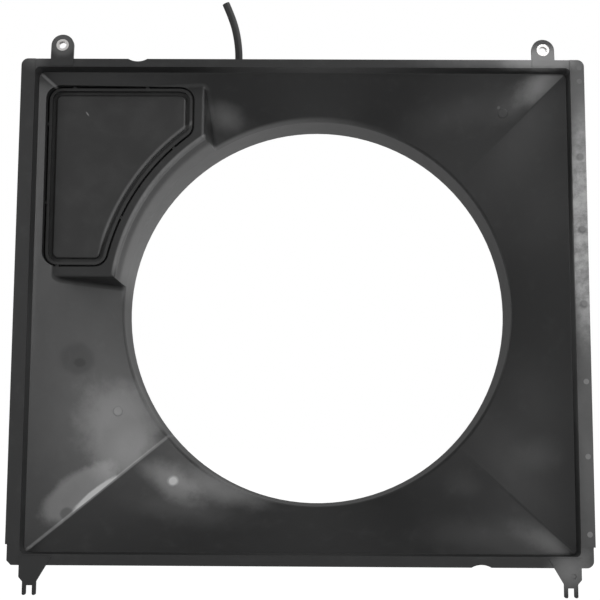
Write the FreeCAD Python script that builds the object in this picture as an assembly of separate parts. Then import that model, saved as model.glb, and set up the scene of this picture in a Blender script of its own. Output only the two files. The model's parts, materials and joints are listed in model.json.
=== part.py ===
"""Radiator fan shroud with a coolant reservoir moulded into one corner.

Lengths are in millimetres. X runs across the radiator, Z is up and Y runs from the radiator
towards the engine. Every shape is built with Y as the depth behind the flange's front face and
with the fan's axis at X = Z = 0; export() then moves it so that the origin is on that axis, in the
middle of the fan ring.
"""
import FreeCAD, Part
import math
import os
from FreeCAD import Vector

# Flange that seals against the radiator
FLANGE_WIDTH = 646.0
FLANGE_HEIGHT = 575.0
FLANGE_CORNER = 8.0
FLANGE_BEVEL = 5.0         # cut across the lower left corner
WALL = 3.0
AXIS_RIGHT = 19.5          # fan axis, right of the flange's centre
AXIS_UP = 5.0              # fan axis, above the flange's centre
MARGIN_SIDE = 14.0         # width of the flange's face at the sides
MARGIN_TOP = 9.5
MARGIN_BOTTOM = 12.0
LIP_OVERHANG = 2.0         # raised strip down each side reaches past the flange's edge
LIP_RISE = 0.7
LIP_END = 22.5             # the strip stops this far above the flange's lower edge
NOTCH_LENGTH = 22.0
NOTCH_DEPTH = 3.0
NOTCH_TOP_X = -210.0
NOTCH_BOTTOM_X = 180.0

# Plenum: a square-set step, then four panels running down to the round fan ring
STEP_DEPTH = 21.0
PLENUM_DEPTH = 95.0
INLET_CORNER = 6.0
CREASE_ROUND = 2.5         # rounding between two panels where they leave the step
CREASE_WIDTH = 3.0         # width of that rounding at the ring
RING_RADIUS = 234.5
RING_LENGTH = 55.0
RING_BEAD = 3.0
RING_BEAD_WIDTH = 5.0
GUSSET_FOOT = 32.0
GUSSET_THICK = 2.5
GUSSET_SHORT = 12.0        # gussets stop this far short of the ring's rear edge
GUSSET_TOE = 6.0
GUSSET_STEP_DEG = 30.0
GUSSET_FIRST_DEG = -165.0
GUSSET_COUNT = 9

# Reservoir. The pan is the raised middle of its cover; the other outlines are set out from it.
FACE_DEPTH = 35.0
PAN_WIDTH = 150.0
PAN_HEIGHT = 192.0
PAN_SIDE_MARGIN = 19.5     # from the inlet's left edge
PAN_TOP_MARGIN = 25.0      # from the inlet's top edge
PAN_RING_GAP = 29.2        # from the ring's bore
PAN_CORNER = 5.0
PAN_EDGE = 2.0             # foot of the pan's rounded edge, outside its outline
PAN_ROUND = 3.0
CAVITY_SETOUT = 6.0
RIM_WIDTH = 3.2
RIM_SETOUT = 9.6
RECESS_SETOUT = 12.0
FACE_SETOUT = 24.2
RECESS_DEPTH = 7.0
COVER_THICK = 3.0
PAN_RISE = 1.5             # pan in front of the reservoir's face
RIM_RISE = 1.0
EDGE_ROUND = 4.5
FOOT_ROUND = 6.0           # where the reservoir's walls meet the panels
RIGHT_DRAFT_DEG = 8.0
BOTTOM_DRAFT_DEG = 4.0
TUB_REACH = 5.0            # tub behind the ring's front edge
TUB_LINK_DEGS = (132.0, 145.0, 158.0)
NIB_LENGTH = 4.0
NIB_GAP = 0.2
NIB_PLACES = {"left": (0.2, 0.65), "top": (0.17, 0.68), "bottom": (0.2,), "arc": (0.15, 0.69)}
SEAM = 1.0                 # overlap that lets two solids fuse cleanly

# Filler neck and its hinged cap
NECK_RADIUS = 19.0
NECK_WALL = 3.0
NECK_INSET = 62.0          # neck axis, right of the reservoir's left wall
NECK_HEIGHT = 27.0
NECK_BEAD = 1.2
NECK_BEAD_LENGTH = 2.0
NECK_BEAD_DROP = 4.0       # below the neck's rim
CAP_CLEARANCE = 0.4
CAP_WALL = 2.4
CAP_SKIRT = 6.5            # reach of the cap's skirt below the neck's rim
SEAL_THICK = 2.0
SEAL_WIDTH = 4.0
SEAL_GAP = 0.3
CAP_TAB = 7.0
CAP_TAB_WIDTH = 16.0
STRAP_HEIGHT = 4.0
STRAP_WIDTH = 3.2
STRAP_CLEARANCE = 0.3
STRAP_DROP = 3.0           # below the cap's skirt
HINGE_PIN_RADIUS = 1.6
HINGE_RUNNING = 0.05
HINGE_BARREL = 1.6
HINGE_SETBACK = 5.0        # hinge axis behind the cap's skirt
HINGE_WIDTH = 9.0
HINGE_EAR = 2.5
HINGE_SIDE_GAP = 0.3
KNUCKLE_MOUTH_DEG = 70.0

# Hose fitting, pick-up tube and hose clamp
GROMMET_HOLE_RADIUS = 6.5
GROMMET_FLANGE_RADIUS = 9.0
GROMMET_FLANGE = 2.0
GROMMET_SQUEEZE = 0.05
FITTING_DROP = 29.0        # fitting axis below the reservoir's top wall
FITTING_SETBACK = 15.0     # fitting axis in front of the reservoir's rear wall
FITTING_RADIUS = 4.0
FITTING_BORE = 1.8
FITTING_COLLAR = 1.5
FITTING_COLLAR_RADIUS = 6.5
ELBOW_REACH = 8.0          # from the grommet's face to the fitting's bend
ELBOW_RISE = 7.0           # from the bend up to the shoulder that the hose meets, and as far across
SPIGOT_RADIUS = 2.8
SPIGOT_LENGTH = 13.0
SPIGOT_INSIDE = 9.0
TUBE_RADIUS = 4.0
TUBE_BORE = 2.9
TUBE_FOOT_CLEARANCE = 14.0
TUBE_ARC_CLEARANCE = 28.0
TUBE_FIRST_RUN = 60.0
HOSE_RADIUS = 4.5
HOSE_BORE = 2.9
CLAMP_THICK = 0.8
CLAMP_WIDTH = 6.0
CLAMP_EAR = 5.0
CLAMP_GAP = 0.1

# Mounting tabs at the top, with steel compression limiters
TAB_WIDTH = 26.0
TAB_THICK = 4.0
TAB_SPACING = 556.6
TAB_HOLE_RISE = 12.0       # hole above the line where the tab leans back
TAB_LEAN_DEG = 6.0
TAB_EXTENSIONS = {"left": 4.5, "right": 0.0}
TAB_OVERLAP = 8.0
TAB_PROUD = 0.6            # tab in front of the flange's face
LIMITER_RADIUS = 7.2
LIMITER_BORE = 4.4
LIMITER_SQUEEZE = 0.05
LIMITER_PROUD = 0.3

# Forked feet at the bottom
FORK_SPACING = 594.6
FORK_THICK = 4.0
FORK_PROUD = 0.8
FORK_LENGTH = 32.0
FORK_SLOT_WIDTH = 7.0
FORK_SLOT_DEPTH = 10.5
FORK_PRONG = 4.0
FORK_SHOULDER = 12.5       # straight part of the outer edge, below the flange
FORK_OUTER_REACH = 11.8
FORK_INNER_REACH = 17.8
FORK_OVERLAP = 10.0
PIN_RECESS_RADIUS = 3.0    # round sink in the right foot's face
PIN_RECESS_DEPTH = 0.8
PIN_RECESS_SHIFT = 2.9     # outwards from the foot's middle
PIN_RECESS_DROP = 8.8      # below the flange's edge

# Overflow hose, from the fitting's shoulder to its open end: steps across, rearwards and up
HOSE_STEPS = [
    (18.5, 0.0, 18.5),
    (12.0, -6.5, 22.5),
    (5.7, -9.0, 25.0),
    (-1.2, -8.0, 25.0),
    (-5.9, -5.5, 24.5),
    (-9.0, -3.0, 19.5),
]

# Values worked out from the sizes above
FLANGE_LEFT = -AXIS_RIGHT - FLANGE_WIDTH / 2
FLANGE_RIGHT = FLANGE_LEFT + FLANGE_WIDTH
FLANGE_BOTTOM = -AXIS_UP - FLANGE_HEIGHT / 2
FLANGE_TOP = FLANGE_BOTTOM + FLANGE_HEIGHT
INLET_LEFT = FLANGE_LEFT + MARGIN_SIDE
INLET_RIGHT = FLANGE_RIGHT - MARGIN_SIDE
INLET_BOTTOM = FLANGE_BOTTOM + MARGIN_BOTTOM
INLET_TOP = FLANGE_TOP - MARGIN_TOP
RING_REAR_DEPTH = PLENUM_DEPTH + RING_LENGTH
ORIGIN_DEPTH = PLENUM_DEPTH + RING_LENGTH / 2
SKIN = WALL / math.sqrt(2)     # sideways and rearwards shift that gives a sloping panel its wall
PAN_LEFT = INLET_LEFT + PAN_SIDE_MARGIN
PAN_RIGHT = PAN_LEFT + PAN_WIDTH
PAN_TOP = INLET_TOP - PAN_TOP_MARGIN
PAN_BOTTOM = PAN_TOP - PAN_HEIGHT
PAN_ARC = RING_RADIUS + PAN_RING_GAP
SEAT_DEPTH = FACE_DEPTH + RECESS_DEPTH
TUB_REAR_DEPTH = PLENUM_DEPTH + TUB_REACH
TUB_SETOUT = CAVITY_SETOUT + WALL
TUB_TOP = PAN_TOP + TUB_SETOUT
TUB_LEFT = PAN_LEFT - TUB_SETOUT
TUB_RIGHT = PAN_RIGHT + TUB_SETOUT
TUB_MIDDLE_DEPTH = (SEAT_DEPTH + TUB_REAR_DEPTH) / 2
NECK_X = TUB_LEFT + NECK_INSET
NECK_RIM = TUB_TOP + NECK_HEIGHT
FITTING_Z = TUB_TOP - FITTING_DROP
FITTING_DEPTH = TUB_REAR_DEPTH - FITTING_SETBACK
ELBOW_X = TUB_RIGHT + GROMMET_FLANGE + ELBOW_REACH

Y_AXIS = Vector(0, 1, 0)
Z_AXIS = Vector(0, 0, 1)


def export(name, shape):
    """Check one piece, move it into the part's frame and write it."""
    shape = shape.removeSplitter()
    if not shape.isValid() or not shape.Solids:
        raise ValueError(name + " is not a sound solid")
    shape.translate(Vector(0, -ORIGIN_DEPTH, 0))
    shape.exportStep("parts/" + name + ".step")
    print("%-18s solids %d  faces %3d  volume %9.1f mm3"
          % (name, len(shape.Solids), len(shape.Faces), shape.Volume))


def box(x0, x1, d0, d1, z0, z1):
    return Part.makeBox(x1 - x0, d1 - d0, z1 - z0, Vector(x0, d0, z0))


def rod(radius, start, end):
    """Solid cylinder between two points."""
    axis = Vector(*end) - Vector(*start)
    return Part.makeCylinder(radius, axis.Length, Vector(*start), axis)


def tube(outer, inner, start, end):
    return rod(outer, start, end).cut(rod(inner, start, end))


def plate(points, d0, d1):
    """Flat plate with a polygon outline in X and Z."""
    wire = Part.makePolygon([Vector(x, d0, z) for x, z in points + points[:1]])
    return Part.Face(wire).extrude(Vector(0, d1 - d0, 0))


def polar(radius, degrees, depth):
    angle = math.radians(degrees)
    return Vector(radius * math.cos(angle), depth, radius * math.sin(angle))


def arc_between(radius, start_deg, end_deg, depth):
    """Arc about the fan's axis, from one angle to another."""
    middle = (start_deg + end_deg) / 2
    ends = [polar(radius, angle, depth) for angle in (start_deg, middle, end_deg)]
    return Part.Arc(*ends).toShape()


# Plenum

def inlet_wire(spread, depth, corner=INLET_CORNER):
    """Inlet rectangle with rounded corners, set outwards by spread: right side first, turning up."""
    x0, x1 = INLET_LEFT - spread, INLET_RIGHT + spread
    z0, z1 = INLET_BOTTOM - spread, INLET_TOP + spread
    r = corner + spread
    centres = [(x1 - r, z1 - r, 0), (x0 + r, z1 - r, 90), (x0 + r, z0 + r, 180), (x1 - r, z0 + r, 270)]
    edges = []
    last = Vector(x1, depth, z0 + r)
    for cx, cz, start in centres:
        turn = [Vector(cx, 0, cz) + polar(r, start + degrees, depth) for degrees in (0, 45, 90)]
        edges.append(Part.LineSegment(last, turn[0]).toShape())
        edges.append(Part.Arc(*turn).toShape())
        last = turn[2]
    return Part.Wire(edges)


def corner_degrees():
    """Direction of each inlet corner from the fan's axis, turning up from the lower right."""
    corners = [(INLET_RIGHT, INLET_BOTTOM), (INLET_RIGHT, INLET_TOP),
               (INLET_LEFT, INLET_TOP), (INLET_LEFT, INLET_BOTTOM)]
    degrees = [math.degrees(math.atan2(z, x)) for x, z in corners]
    degrees[3] += 360
    return degrees


def ring_wire(radius, depth):
    """Circle split so that each stretch faces its own side or corner of the inlet."""
    half = math.degrees(CREASE_WIDTH / 2 / RING_RADIUS)
    degrees = corner_degrees()
    degrees.append(degrees[0] + 360)
    edges = []
    for here, following in zip(degrees, degrees[1:]):
        edges.append(arc_between(radius, here + half, following - half, depth))
        edges.append(arc_between(radius, following - half, following + half, depth))
    return Part.Wire(edges)


def plenum_cone(spread):
    """Space between the stepped inlet and the ring, its sides ruled from straight to round."""
    front = inlet_wire(spread, STEP_DEPTH + spread, CREASE_ROUND)
    rear = ring_wire(RING_RADIUS + spread, PLENUM_DEPTH + spread)
    cone = Part.makeLoft([front, rear], True, True)
    outline = Part.Face(inlet_wire(max(spread, 0), 0))
    return cone.common(outline.extrude(Vector(0, RING_REAR_DEPTH, 0)))


def air_path():
    """Everything that the air passes through, from in front of the flange to behind the ring."""
    front = -LIP_RISE - FORK_PROUD - TAB_THICK
    step = Part.Face(inlet_wire(0, front)).extrude(Vector(0, STEP_DEPTH - front, 0))
    ring = rod(RING_RADIUS, (0, PLENUM_DEPTH, 0), (0, RING_REAR_DEPTH + SEAM, 0))
    return step.fuse([plenum_cone(0), ring]).removeSplitter()


def plenum_hull():
    """The same space with its walls added, as one filled solid."""
    flange = box(FLANGE_LEFT, FLANGE_RIGHT, 0, WALL, FLANGE_BOTTOM, FLANGE_TOP)
    corners = [edge for edge in flange.Edges if abs(edge.tangentAt(edge.FirstParameter).y) > 0.9]
    lower_left = min(corners, key=lambda edge: edge.CenterOfMass.x + edge.CenterOfMass.z)
    corners = [edge for edge in corners if not edge.isSame(lower_left)]
    flange = flange.makeFillet(FLANGE_CORNER, corners)
    bevel = plate([(FLANGE_LEFT - SEAM, FLANGE_BOTTOM - SEAM), (FLANGE_LEFT + FLANGE_BEVEL, FLANGE_BOTTOM - SEAM),
                   (FLANGE_LEFT + FLANGE_BEVEL, FLANGE_BOTTOM), (FLANGE_LEFT, FLANGE_BOTTOM + FLANGE_BEVEL),
                   (FLANGE_LEFT - SEAM, FLANGE_BOTTOM + FLANGE_BEVEL)], -SEAM, WALL + SEAM)
    flange = flange.cut(bevel)
    step = Part.Face(inlet_wire(WALL, 0)).extrude(Vector(0, STEP_DEPTH + SKIN, 0))
    ring = rod(RING_RADIUS + WALL, (0, STEP_DEPTH, 0), (0, RING_REAR_DEPTH, 0))
    bead_front = RING_REAR_DEPTH - RING_BEAD_WIDTH
    bead = rod(RING_RADIUS + WALL + RING_BEAD, (0, bead_front, 0), (0, RING_REAR_DEPTH, 0))
    return flange.fuse([step, plenum_cone(SKIN), ring, bead])


def panel_depth(radius, degrees):
    """Depth of the panel's front, where a ray from the axis at this angle reaches the radius."""
    angle = math.radians(degrees)
    reach_x = INLET_RIGHT if math.cos(angle) > 0 else INLET_LEFT
    reach_z = INLET_TOP if math.sin(angle) > 0 else INLET_BOTTOM
    to_side = reach_x / math.cos(angle) if abs(math.cos(angle)) > 0.01 else math.inf
    to_edge = reach_z / math.sin(angle) if abs(math.sin(angle)) > 0.01 else math.inf
    edge = min(to_side, to_edge)
    fall = (edge - radius) / (edge - RING_RADIUS)
    return STEP_DEPTH + (PLENUM_DEPTH - STEP_DEPTH) * fall


def gusset(degrees):
    """Thin web between the ring's outside and the back of a panel."""
    inner = RING_RADIUS + WALL / 2
    outer = RING_RADIUS + WALL + GUSSET_FOOT
    toe = panel_depth(outer, degrees)
    profile = [(inner, RING_REAR_DEPTH - GUSSET_SHORT), (inner, PLENUM_DEPTH),
               (outer, toe + WALL / 2), (outer, toe + WALL + GUSSET_TOE)]
    wire = Part.makePolygon([Vector(r, d, -GUSSET_THICK / 2) for r, d in profile + profile[:1]])
    web = Part.Face(wire).extrude(Vector(0, 0, GUSSET_THICK))
    web.rotate(Vector(0, 0, 0), Y_AXIS, -degrees)
    return web


def notch(x, z):
    """Shallow round cut in the flange's edge."""
    radius = (NOTCH_LENGTH ** 2 / 4 + NOTCH_DEPTH ** 2) / (2 * NOTCH_DEPTH)
    centre_z = z + math.copysign(radius - NOTCH_DEPTH, z)
    return rod(radius, (x, -SEAM, centre_z), (x, WALL + SEAM, centre_z))


def side_lip(side):
    """Raised strip down one side of the flange; side is -1 or 1."""
    edge = FLANGE_LEFT if side < 0 else FLANGE_RIGHT
    ends = sorted([edge - side * MARGIN_SIDE, edge + side * LIP_OVERHANG])
    lip = box(ends[0], ends[1], -LIP_RISE, WALL, FLANGE_BOTTOM + LIP_END, FLANGE_TOP)
    outer_top = [edge for edge in lip.Edges
                 if abs(edge.tangentAt(edge.FirstParameter).y) > 0.9
                 and edge.CenterOfMass.z > 0 and side * edge.CenterOfMass.x > side * sum(ends) / 2]
    return lip.makeFillet(FLANGE_CORNER, outer_top)


# Reservoir

def arc_ends(radius, x1, z0):
    """Directions in which an arc round the ring meets the right side and the lower side."""
    start = math.degrees(math.atan2(math.sqrt(radius ** 2 - x1 ** 2), x1))
    end = math.degrees(math.atan2(z0, -math.sqrt(radius ** 2 - z0 ** 2)))
    return start, end


def reservoir_outline(setout, depth, right_shift=0.0, bottom_shift=0.0, arc_radius=None):
    """The pan's outline set outwards: left, top and right sides, an arc round the ring, bottom."""
    x0, x1 = PAN_LEFT - setout, PAN_RIGHT + setout + right_shift
    z0, z1 = PAN_BOTTOM - setout - bottom_shift, PAN_TOP + setout
    radius = arc_radius if arc_radius else PAN_ARC - setout
    start, end = arc_ends(radius, x1, z0)
    arc = arc_between(radius, start, end, depth)
    corners = [polar(radius, end, depth), Vector(x0, depth, z0), Vector(x0, depth, z1),
               Vector(x1, depth, z1), polar(radius, start, depth)]
    edges = [Part.LineSegment(a, b).toShape() for a, b in zip(corners, corners[1:])]
    return Part.Wire(edges + [arc])


def reservoir_prism(setout, d0, d1):
    """Straight prism on that outline, with rounded corners."""
    prism = Part.Face(reservoir_outline(setout, d0)).extrude(Vector(0, d1 - d0, 0))
    upright = [edge for edge in prism.Edges if abs(edge.tangentAt(edge.FirstParameter).y) > 0.9]
    return prism.makeFillet(PAN_CORNER + setout, upright)


def drafted_block(inset):
    """Block that stands in the plenum in front of the reservoir, drafted down to the ring."""
    front_depth = FACE_DEPTH + inset
    rise = PLENUM_DEPTH - FACE_DEPTH
    setout = FACE_SETOUT - inset
    lean = inset / rise
    right = rise * math.tan(math.radians(RIGHT_DRAFT_DEG))
    bottom = rise * math.tan(math.radians(BOTTOM_DRAFT_DEG))
    front_arc = PAN_ARC - setout
    rear_arc = RING_RADIUS + inset
    front = reservoir_outline(setout, front_depth, right * lean, bottom * lean,
                              front_arc + (rear_arc - front_arc) * lean)
    rear = reservoir_outline(setout, PLENUM_DEPTH, right, bottom, rear_arc)
    return Part.makeLoft([front, rear], True, True)


def face_block():
    """The drafted block with the long edges of its front face rounded."""
    block = drafted_block(0)
    wanted = []
    for edge in block.Edges:
        centre = edge.CenterOfMass
        on_front = abs(centre.y - FACE_DEPTH) < 0.01
        inner_side = centre.x > PAN_RIGHT or centre.z < PAN_BOTTOM or edge.Curve.TypeId == "Part::GeomCircle"
        if on_front and inner_side:
            wanted.append(edge)
    return block.makeFillet(EDGE_ROUND, wanted)


def round_feet(air):
    """Round the line where the reservoir's right and lower walls meet the panels."""
    middle = (STEP_DEPTH + PLENUM_DEPTH) / 2
    feet = []
    for edge in air.Edges:
        box = edge.BoundBox
        rises = box.YMin > STEP_DEPTH and box.YMax > middle and box.YMax < PLENUM_DEPTH + SEAM
        right_wall = box.XMin > PAN_RIGHT and box.XMax < 0 and box.ZMin > PAN_BOTTOM + PAN_HEIGHT / 2
        lower_wall = box.ZMax < PAN_BOTTOM and box.ZMin > 0 and box.XMax < PAN_RIGHT
        if rises and (right_wall or lower_wall) and max(box.XLength, box.ZLength) > PAN_SIDE_MARGIN:
            feet.append(edge)
    return air.makeFillet(FOOT_ROUND, feet)


def behind_face():
    """Space behind the reservoir's face, open to the rear, round the tub."""
    rise = PLENUM_DEPTH - FACE_DEPTH
    right = rise * math.tan(math.radians(RIGHT_DRAFT_DEG))
    bottom = rise * math.tan(math.radians(BOTTOM_DRAFT_DEG))
    rear = reservoir_outline(FACE_SETOUT - WALL, PLENUM_DEPTH, right, bottom, RING_RADIUS + WALL)
    tail = Part.Face(rear).extrude(Vector(0, WALL, 0))
    return drafted_block(WALL).fuse(tail)


def tub_link(degrees):
    """Web between the ring's outside and the tub's curved wall."""
    inner, outer = RING_RADIUS + WALL / 2, PAN_ARC - CAVITY_SETOUT - WALL / 2
    web = box(inner, outer, FACE_DEPTH + WALL / 2, PLENUM_DEPTH, -GUSSET_THICK / 2, GUSSET_THICK / 2)
    web.rotate(Vector(0, 0, 0), Y_AXIS, -degrees)
    return web


def neck():
    """Filler neck with the bead that the cap snaps over."""
    foot = (NECK_X, TUB_MIDDLE_DEPTH, TUB_TOP - WALL)
    rim = (NECK_X, TUB_MIDDLE_DEPTH, NECK_RIM)
    bead_top = NECK_RIM - NECK_BEAD_DROP
    bead = rod(NECK_RADIUS + NECK_BEAD, (NECK_X, TUB_MIDDLE_DEPTH, bead_top - NECK_BEAD_LENGTH),
               (NECK_X, TUB_MIDDLE_DEPTH, bead_top))
    bead = bead.makeChamfer(NECK_BEAD_LENGTH / 3, bead.Edges)
    return rod(NECK_RADIUS, foot, rim).fuse(bead)


def neck_bore():
    return rod(NECK_RADIUS - NECK_WALL, (NECK_X, TUB_MIDDLE_DEPTH, TUB_TOP - 2 * WALL),
               (NECK_X, TUB_MIDDLE_DEPTH, NECK_RIM + SEAM))


# Tabs and feet

def tab_lean(shape, side, extension):
    """Lean a tab or its bush back about the line where the tab leaves the flange's plane."""
    hinge = Vector(side * TAB_SPACING / 2 - AXIS_RIGHT, 0, FLANGE_TOP + extension)
    return shape.rotate(hinge, Vector(1, 0, 0), -TAB_LEAN_DEG)


def tab(side, extension):
    """Top mounting tab: a plate with a round end, and the strap that ties it to the flange."""
    x = side * TAB_SPACING / 2 - AXIS_RIGHT
    base = FLANGE_TOP + extension
    hole_z = base + TAB_HOLE_RISE
    half = TAB_WIDTH / 2
    front, back = -TAB_PROUD, TAB_THICK - TAB_PROUD
    upper = box(x - half, x + half, front, back, base - SEAM, hole_z)
    upper = upper.fuse(rod(half, (x, front, hole_z), (x, back, hole_z)))
    upper = upper.cut(rod(LIMITER_RADIUS - LIMITER_SQUEEZE, (x, -SEAM, hole_z), (x, TAB_THICK + SEAM, hole_z)))
    tab_lean(upper, side, extension)
    lower = box(x - half, x + half, front, back, FLANGE_TOP - TAB_OVERLAP, base)
    return upper.fuse(lower)


def limiter(side, extension):
    """Steel bush that carries the bolt's load through the tab."""
    x = side * TAB_SPACING / 2 - AXIS_RIGHT
    z = FLANGE_TOP + extension + TAB_HOLE_RISE
    front, back = -TAB_PROUD - LIMITER_PROUD, TAB_THICK - TAB_PROUD + LIMITER_PROUD
    bush = tube(LIMITER_RADIUS, LIMITER_BORE, (x, front, z), (x, back, z))
    tab_lean(bush, side, extension)
    return bush


def fork(side):
    """Forked foot that straddles a pin on the radiator; its wide side faces the middle."""
    x = side * FORK_SPACING / 2 - AXIS_RIGHT
    top = FLANGE_BOTTOM + FORK_OVERLAP
    tip = FLANGE_BOTTOM - FORK_LENGTH
    waist = tip + FORK_SLOT_DEPTH + FORK_PRONG
    half = FORK_SLOT_WIDTH / 2 + FORK_PRONG
    shoulder = FLANGE_BOTTOM - FORK_SHOULDER
    slope = (FORK_INNER_REACH - half) / (FLANGE_BOTTOM - waist)
    inner_top = FORK_INNER_REACH + slope * FORK_OVERLAP
    outline = [(FORK_OUTER_REACH, top), (FORK_OUTER_REACH, shoulder), (half, waist), (half, tip),
               (-half, tip), (-half, waist), (-inner_top, top)]
    body = plate([(x + side * across, z) for across, z in outline], -FORK_PROUD, FORK_THICK - FORK_PROUD)
    slot = box(x - FORK_SLOT_WIDTH / 2, x + FORK_SLOT_WIDTH / 2, -FORK_THICK, 2 * FORK_THICK,
               tip - SEAM, tip + FORK_SLOT_DEPTH)
    body = body.cut(slot)
    tips = [edge for edge in body.Edges
            if abs(edge.CenterOfMass.z - tip) < 0.01 and abs(edge.tangentAt(edge.FirstParameter).y) > 0.9]
    return body.makeFillet(FORK_PRONG * 0.4, tips)


def pin_recess():
    """Round sink in the face of the right foot."""
    x = FORK_SPACING / 2 - AXIS_RIGHT + PIN_RECESS_SHIFT
    z = FLANGE_BOTTOM - PIN_RECESS_DROP
    return rod(PIN_RECESS_RADIUS, (x, -FORK_PROUD - SEAM, z), (x, PIN_RECESS_DEPTH - FORK_PROUD, z))


# Hose

def hose_path(points):
    """Straight runs joined by tangent arcs, as large as their two runs allow."""
    points = [Vector(*point) for point in points]
    edges, radii = [], []
    last = points[0]
    for before, here, after in zip(points, points[1:], points[2:]):
        back, ahead = before - here, after - here
        half_turn = (math.pi - back.getAngle(ahead)) / 2
        trim = 0.45 * min(back.Length, ahead.Length)
        radii.append(trim / math.tan(half_turn))
        back.normalize()
        ahead.normalize()
        start, end = here + back * trim, here + ahead * trim
        inward = back + ahead
        inward.normalize()
        centre = here + inward * (radii[-1] / math.cos(half_turn))
        middle = centre - inward * radii[-1]
        edges.append(Part.LineSegment(last, start).toShape())
        edges.append(Part.Arc(start, middle, end).toShape())
        last = end
    edges.append(Part.LineSegment(last, points[-1]).toShape())
    return Part.Wire(edges), radii


def pipe(path, radius):
    """Round bar swept along a path."""
    first = path.OrderedEdges[0]
    start = first.valueAt(first.FirstParameter)
    circle = Part.Wire(Part.makeCircle(radius, start, first.tangentAt(first.FirstParameter)))
    return path.makePipeShell([circle], True, True)


def hose_points():
    """Corners of the hose's route, starting at the shoulder of its fitting."""
    points = [(ELBOW_X + ELBOW_RISE, FITTING_DEPTH, FITTING_Z + ELBOW_RISE)]
    for step in HOSE_STEPS:
        points.append(tuple(a + b for a, b in zip(points[-1], step)))
    return points


def hollow_pipe(points, outer, bore):
    path, radii = hose_path(points)
    solid = pipe(path, outer).cut(pipe(path, bore))
    expected = math.pi * (outer ** 2 - bore ** 2) * path.Length
    print("pipe: length %.1f, volume over section times length %.4f, bend radii %s"
          % (path.Length, solid.Volume / expected, " ".join("%.0f" % r for r in radii)))
    return solid


# Pieces

def shroud_body():
    """The one-piece moulding."""
    clear_air = round_feet(air_path().cut(face_block()))
    solid = plenum_hull().cut(behind_face())
    additions = [reservoir_prism(RECESS_SETOUT + WALL, STEP_DEPTH, SEAT_DEPTH + WALL),
                 reservoir_prism(TUB_SETOUT, SEAT_DEPTH, TUB_REAR_DEPTH), neck(),
                 side_lip(-1), side_lip(1), fork(-1), fork(1),
                 tab(-1, TAB_EXTENSIONS["left"]), tab(1, TAB_EXTENSIONS["right"])]
    additions += [gusset(GUSSET_FIRST_DEG + GUSSET_STEP_DEG * k) for k in range(GUSSET_COUNT)]
    additions += [tub_link(degrees) for degrees in TUB_LINK_DEGS]
    solid = solid.fuse(additions)
    fitting_hole = rod(GROMMET_HOLE_RADIUS, (TUB_RIGHT - 2 * WALL, FITTING_DEPTH, FITTING_Z),
                       (TUB_RIGHT + SEAM, FITTING_DEPTH, FITTING_Z))
    removals = [clear_air, reservoir_prism(RECESS_SETOUT, 0, SEAT_DEPTH),
                reservoir_prism(CAVITY_SETOUT, 0, TUB_REAR_DEPTH - WALL), neck_bore(), fitting_hole, pin_recess(),
                notch(NOTCH_TOP_X, FLANGE_TOP), notch(NOTCH_BOTTOM_X, FLANGE_BOTTOM)]
    return solid.cut(removals)


def nib(point, outward):
    """Locating nib on the cover's rim, just short of the recess's wall."""
    reach = RECESS_SETOUT - RIM_SETOUT - NIB_GAP
    block = Part.makeBox(reach + SEAM, RECESS_DEPTH - RIM_RISE, NIB_LENGTH,
                         Vector(-SEAM, FACE_DEPTH + RIM_RISE, -NIB_LENGTH / 2))
    block.rotate(Vector(0, 0, 0), Y_AXIS, -outward)
    block.translate(Vector(point[0], 0, point[1]))
    return block


def cover_nibs():
    """Nibs along each side, placed at shares of its length from the upper or left end."""
    x0, x1 = PAN_LEFT - RIM_SETOUT, PAN_RIGHT + RIM_SETOUT
    z0, z1 = PAN_BOTTOM - RIM_SETOUT, PAN_TOP + RIM_SETOUT
    radius = PAN_ARC - RIM_SETOUT
    start, end = arc_ends(radius, x1, z0)
    bottom_length = radius * math.cos(math.radians(end)) - x0
    nibs = [nib((x0, z1 + (z0 - z1) * share), 180) for share in NIB_PLACES["left"]]
    nibs += [nib((x0 + (x1 - x0) * share, z1), 90) for share in NIB_PLACES["top"]]
    nibs += [nib((x0 + bottom_length * share, z0), -90) for share in NIB_PLACES["bottom"]]
    for share in NIB_PLACES["arc"]:
        degrees = start + (end - start) * share
        nibs.append(nib((radius * math.cos(math.radians(degrees)), radius * math.sin(math.radians(degrees))),
                        degrees + 180))
    return nibs


def reservoir_cover():
    """Cover welded into the recess: a rim, a channel and the raised pan."""
    rim_front = FACE_DEPTH - RIM_RISE
    floor = SEAT_DEPTH - COVER_THICK
    pan_front = FACE_DEPTH - PAN_RISE
    rim = reservoir_prism(RIM_SETOUT, rim_front, SEAT_DEPTH)
    channel = reservoir_prism(RIM_SETOUT - RIM_WIDTH, rim_front - SEAM, floor)
    pan = reservoir_prism(PAN_EDGE, pan_front, SEAT_DEPTH)
    front_edges = [edge for edge in pan.Edges if abs(edge.BoundBox.YMax - pan_front) < 0.01]
    pan = pan.makeFillet(PAN_ROUND, front_edges)
    hollow = reservoir_prism(PAN_EDGE - COVER_THICK, pan_front + COVER_THICK, SEAT_DEPTH + SEAM)
    return rim.cut(channel).fuse([pan] + cover_nibs()).cut(hollow)


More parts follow.
